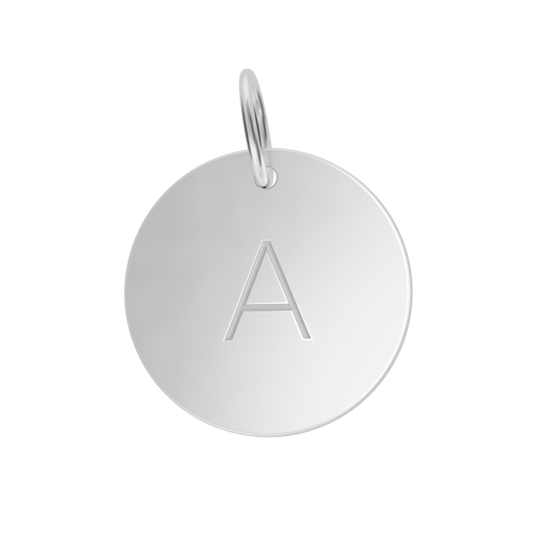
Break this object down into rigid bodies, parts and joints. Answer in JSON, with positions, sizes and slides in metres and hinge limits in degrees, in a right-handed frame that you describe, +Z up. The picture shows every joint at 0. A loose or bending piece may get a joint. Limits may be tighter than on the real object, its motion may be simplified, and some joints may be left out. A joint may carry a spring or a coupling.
{
  "type": "initial pendant",
  "caption": "Round flat metal pendant disc with an engraved capital letter, drilled near its rim and hung on a round wire jump ring.",
  "frame": {"origin": "inside of the jump ring at its top, where a chain runs through and carries the pendant", "axes": "+Z up, +X to the right seen from the front, the disc's engraved front face towards -Y"},
  "size_m": [0.015, 0.0064, 0.0192],
  "materials": {
    "polished_disc": "polished sterling silver with fine hairlines",
    "ring_wire": "bright drawn sterling silver wire"
  },
  "bodies": {
    "ring": {"jump_ring": "ring_wire"},
    "pendant": {"initial_disc": "polished_disc"}
  },
  "joints": [
    {"name": "disc_swing", "type": "hinge", "parent": "ring", "child": "pendant", "pos_m": [0.00086, 0, -0.00506], "axis": [0, 1, 0], "range_deg": [-100, 80]}
  ]
}
